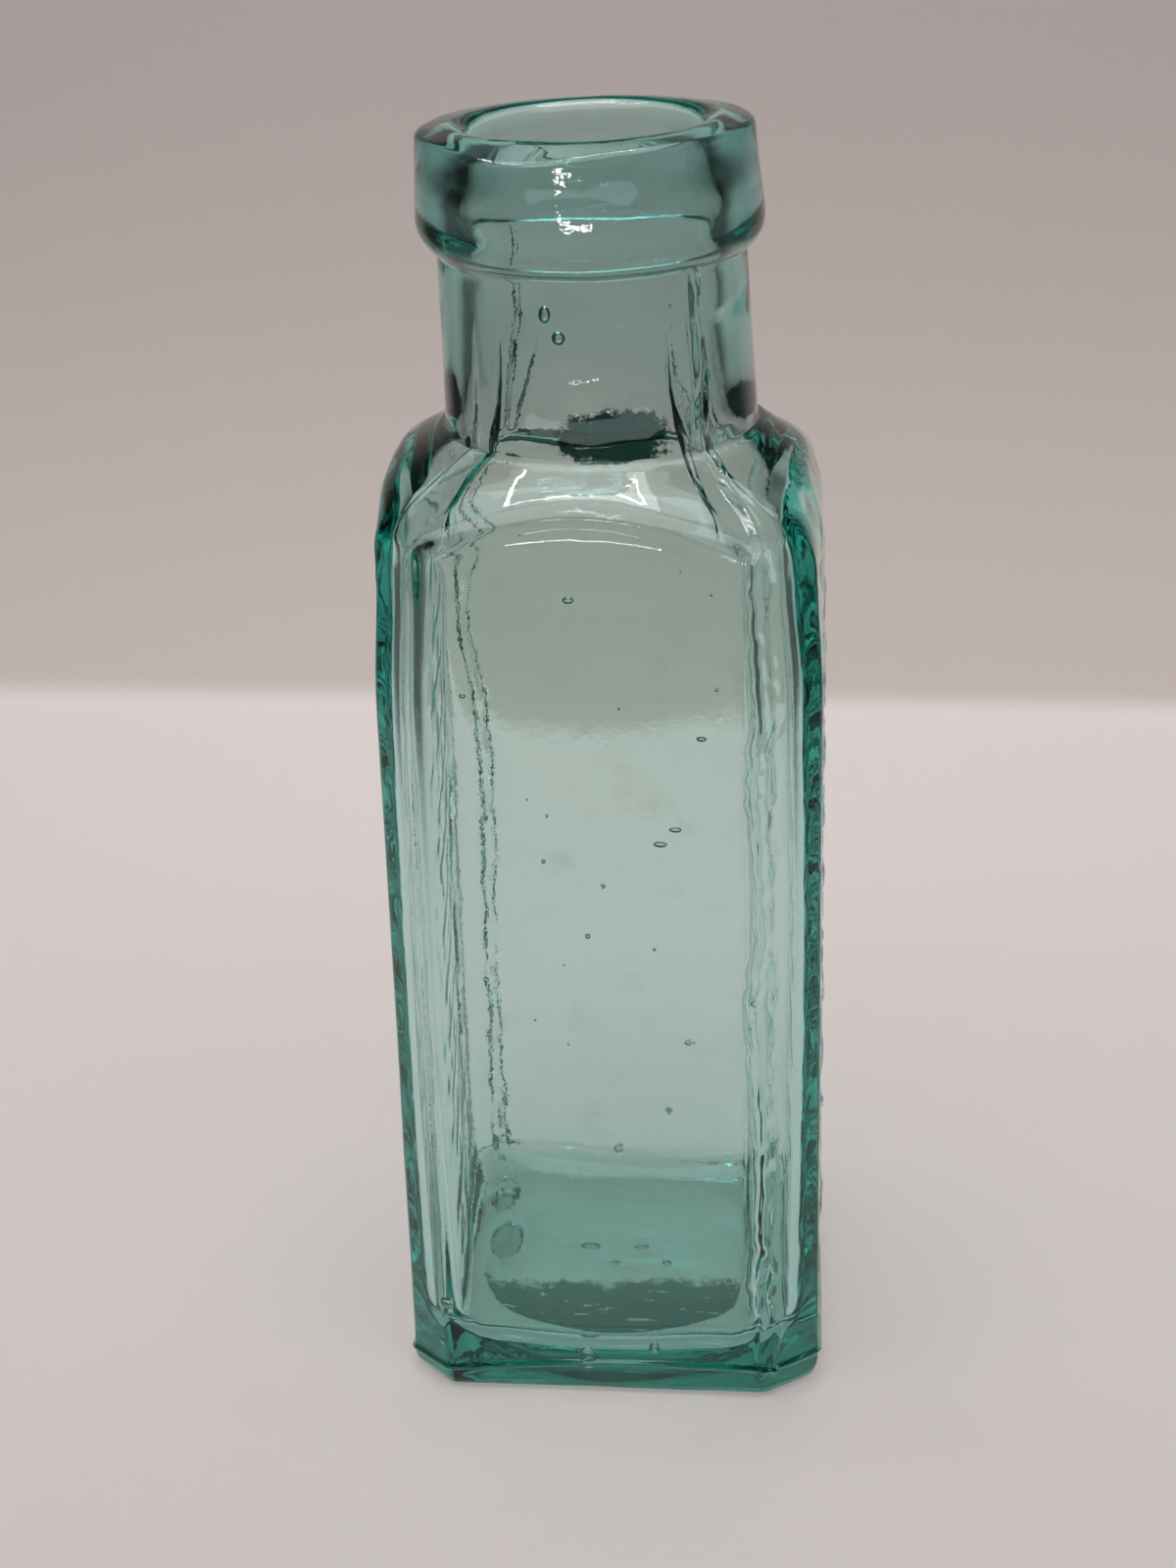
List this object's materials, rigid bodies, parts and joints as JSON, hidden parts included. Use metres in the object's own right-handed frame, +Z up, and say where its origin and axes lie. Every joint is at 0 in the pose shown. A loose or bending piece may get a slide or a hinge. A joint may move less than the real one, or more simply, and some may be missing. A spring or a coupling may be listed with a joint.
{
  "type": "lemonade bottle",
  "caption": "Small square mould-blown aqua glass bottle with chamfered corners, rounded shoulder, round neck and thick slanted collar lip, open at the mouth, for holding a drink concentrate.",
  "frame": {"origin": "centre of the base, on the surface the bottle stands on", "axes": "+Z up through the neck, -Y out of the front panel, +X out of the right panel"},
  "size_m": [0.037, 0.037, 0.1149],
  "materials": {
    "aqua_glass": "clear glossy glass with a bluish-green tint, seeds and a wavy inner surface"
  },
  "bodies": {
    "root": {"base": "aqua_glass", "body": "aqua_glass", "shoulder": "aqua_glass", "neck": "aqua_glass", "lip": "aqua_glass"}
  },
  "joints": []
}
